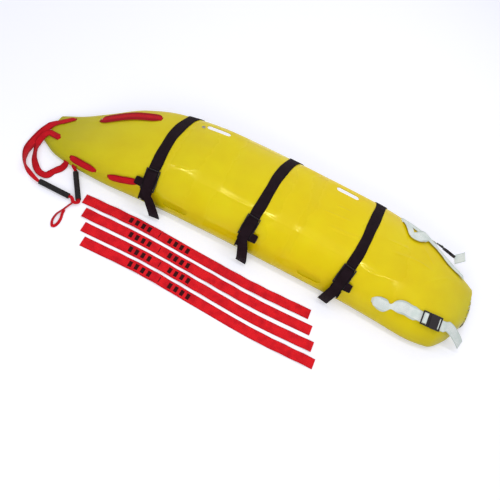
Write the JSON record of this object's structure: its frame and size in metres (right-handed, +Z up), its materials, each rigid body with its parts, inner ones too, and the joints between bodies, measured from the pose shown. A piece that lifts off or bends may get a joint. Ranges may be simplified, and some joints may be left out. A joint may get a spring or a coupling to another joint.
{
  "type": "roll-up rescue stretcher",
  "caption": "Roll-up plastic rescue stretcher closed into a pod, with buckled cross straps, foot straps, a haul bridle with tube grips, and loose carry straps beside it.",
  "frame": {"origin": "on the flat underside of the pod, under the middle of the sheet's length and width", "axes": "+X from the head end to the foot end, +Y from the buckles' side to the side of the sheet's free edge, +Z up"},
  "size_m": [2.1723, 0.887, 0.2081],
  "materials": {
    "moulded_polyethylene_yellow": "smooth yellow polyethylene with a soft sheen",
    "black_nylon_webbing": "black woven nylon webbing",
    "red_nylon_webbing": "red woven nylon webbing",
    "white_nylon_webbing": "white woven nylon webbing",
    "black_acetal": "moulded black plastic",
    "black_rubber_tube": "black rubber hose",
    "nickel_plated_brass": "plated"
  },
  "bodies": {
    "stretcher": {"bridle_inner": "red_nylon_webbing", "bridle_outer": "red_nylon_webbing", "chest_anchor": "black_nylon_webbing", "chest_buckle_body": "black_acetal", "chest_buckle_tongue": "black_acetal", "chest_rivet_1": "nickel_plated_brass", "chest_rivet_2": "nickel_plated_brass", "chest_strap": "black_nylon_webbing", "far_handle": "red_nylon_webbing", "foot_end_far": "white_nylon_webbing", "foot_end_near": "white_nylon_webbing", "foot_far_buckle_body": "black_acetal", "foot_far_buckle_tongue": "black_acetal", "foot_flap": "moulded_polyethylene_yellow", "foot_near_buckle_body": "black_acetal", "foot_near_buckle_tongue": "black_acetal", "foot_strap_far": "white_nylon_webbing", "foot_strap_near": "white_nylon_webbing", "grommet_1": "nickel_plated_brass", "grommet_2": "nickel_plated_brass", "hip_anchor": "black_nylon_webbing", "hip_buckle_body": "black_acetal", "hip_buckle_tongue": "black_acetal", "hip_rivet_1": "nickel_plated_brass", "hip_rivet_2": "nickel_plated_brass", "hip_strap": "black_nylon_webbing", "hull_sheet": "moulded_polyethylene_yellow", "leg_anchor": "black_nylon_webbing", "leg_buckle_body": "black_acetal", "leg_buckle_tongue": "black_acetal", "leg_rivet_1": "nickel_plated_brass", "leg_rivet_2": "nickel_plated_brass", "leg_strap": "black_nylon_webbing", "near_handle_back": "red_nylon_webbing", "near_handle_front": "red_nylon_webbing", "tow_loop": "red_nylon_webbing"},
    "chest_buckle_prong_a": {"chest_buckle_prong_a": "black_acetal"},
    "chest_buckle_prong_b": {"chest_buckle_prong_b": "black_acetal"},
    "hip_buckle_prong_a": {"hip_buckle_prong_a": "black_acetal"},
    "hip_buckle_prong_b": {"hip_buckle_prong_b": "black_acetal"},
    "leg_buckle_prong_a": {"leg_buckle_prong_a": "black_acetal"},
    "leg_buckle_prong_b": {"leg_buckle_prong_b": "black_acetal"},
    "foot_near_buckle_prong_a": {"foot_near_buckle_prong_a": "black_acetal"},
    "foot_near_buckle_prong_b": {"foot_near_buckle_prong_b": "black_acetal"},
    "foot_far_buckle_prong_a": {"foot_far_buckle_prong_a": "black_acetal"},
    "foot_far_buckle_prong_b": {"foot_far_buckle_prong_b": "black_acetal"},
    "bridle_grip_1": {"bridle_grip_1": "black_rubber_tube"},
    "bridle_grip_2": {"bridle_grip_2": "black_rubber_tube"},
    "carry_strap_1": {"carry_strap_1": "red_nylon_webbing"},
    "carry_strap_2": {"carry_strap_2": "red_nylon_webbing"},
    "carry_strap_3": {"carry_strap_3": "red_nylon_webbing"},
    "carry_strap_4": {"carry_strap_4": "red_nylon_webbing"}
  },
  "joints": [
    {"name": "chest_squeeze_a", "type": "hinge", "parent": "stretcher", "child": "chest_buckle_prong_a", "pos_m": [-0.52657, -0.24169, 0.14692], "axis": [-0.0117, -0.6288, 0.7775], "range_deg": [0, 6], "stiffness_Nm_per_rad": 0.3},
    {"name": "chest_squeeze_b", "type": "hinge", "parent": "stretcher", "child": "chest_buckle_prong_b", "pos_m": [-0.48884, -0.23853, 0.15005], "axis": [0.0117, 0.6288, -0.7775], "range_deg": [0, 6], "stiffness_Nm_per_rad": 0.3},
    {"name": "hip_squeeze_a", "type": "hinge", "parent": "stretcher", "child": "hip_buckle_prong_a", "pos_m": [-0.04914, -0.22566, 0.16168], "axis": [0.0011, -0.6374, 0.7705], "range_deg": [0, 6], "stiffness_Nm_per_rad": 0.3},
    {"name": "hip_squeeze_b", "type": "hinge", "parent": "stretcher", "child": "hip_buckle_prong_b", "pos_m": [-0.01119, -0.22709, 0.16045], "axis": [-0.0011, 0.6374, -0.7705], "range_deg": [0, 6], "stiffness_Nm_per_rad": 0.3},
    {"name": "leg_squeeze_a", "type": "hinge", "parent": "stretcher", "child": "leg_buckle_prong_a", "pos_m": [0.42075, -0.22571, 0.16017], "axis": [0.0054, -0.6243, 0.7811], "range_deg": [0, 6], "stiffness_Nm_per_rad": 0.3},
    {"name": "leg_squeeze_b", "type": "hinge", "parent": "stretcher", "child": "leg_buckle_prong_b", "pos_m": [0.4584, -0.22961, 0.1568], "axis": [-0.0054, 0.6243, -0.7811], "range_deg": [0, 6], "stiffness_Nm_per_rad": 0.3},
    {"name": "foot_near_squeeze_a", "type": "hinge", "parent": "stretcher", "child": "foot_near_buckle_prong_a", "pos_m": [0.86891, -0.23558, 0.12927], "axis": [0.196, -0.3747, 0.9062], "range_deg": [0, 6], "stiffness_Nm_per_rad": 0.3},
    {"name": "foot_near_squeeze_b", "type": "hinge", "parent": "stretcher", "child": "foot_near_buckle_prong_b", "pos_m": [0.86547, -0.20087, 0.14436], "axis": [-0.196, 0.3747, -0.9062], "range_deg": [0, 6], "stiffness_Nm_per_rad": 0.3},
    {"name": "foot_far_squeeze_a", "type": "hinge", "parent": "stretcher", "child": "foot_far_buckle_prong_a", "pos_m": [0.84806, 0.209, 0.10194], "axis": [0.1956, 0.7383, 0.6455], "range_deg": [0, 6], "stiffness_Nm_per_rad": 0.3},
    {"name": "foot_far_squeeze_b", "type": "hinge", "parent": "stretcher", "child": "foot_far_buckle_prong_b", "pos_m": [0.84861, 0.23393, 0.07326], "axis": [-0.1956, -0.7383, -0.6455], "range_deg": [0, 6], "stiffness_Nm_per_rad": 0.3},
    {"name": "bridle_grip_1_turn", "type": "hinge", "parent": "stretcher", "child": "bridle_grip_1", "pos_m": [-0.8655, -0.42757, 0.0129], "axis": [1, 0.006, 0], "continuous": true},
    {"name": "bridle_grip_2_turn", "type": "hinge", "parent": "stretcher", "child": "bridle_grip_2", "pos_m": [-0.7921, -0.36177, 0.0129], "axis": [-0.5669, 0.8238, 0], "continuous": true},
    {"name": "carry_strap_1_lift", "type": "slide", "parent": "stretcher", "child": "carry_strap_1", "axis": [0, 0, 1], "range_m": [0, 0.3]},
    {"name": "carry_strap_2_lift", "type": "slide", "parent": "stretcher", "child": "carry_strap_2", "axis": [0, 0, 1], "range_m": [0, 0.3]},
    {"name": "carry_strap_3_lift", "type": "slide", "parent": "stretcher", "child": "carry_strap_3", "axis": [0, 0, 1], "range_m": [0, 0.3]},
    {"name": "carry_strap_4_lift", "type": "slide", "parent": "stretcher", "child": "carry_strap_4", "axis": [0, 0, 1], "range_m": [0, 0.3]}
  ],
  "couplings": [
    {"joint": "chest_squeeze_b", "follows": "chest_squeeze_a", "ratio": 1},
    {"joint": "hip_squeeze_b", "follows": "hip_squeeze_a", "ratio": 1},
    {"joint": "leg_squeeze_b", "follows": "leg_squeeze_a", "ratio": 1},
    {"joint": "foot_near_squeeze_b", "follows": "foot_near_squeeze_a", "ratio": 1},
    {"joint": "foot_far_squeeze_b", "follows": "foot_far_squeeze_a", "ratio": 1}
  ]
}
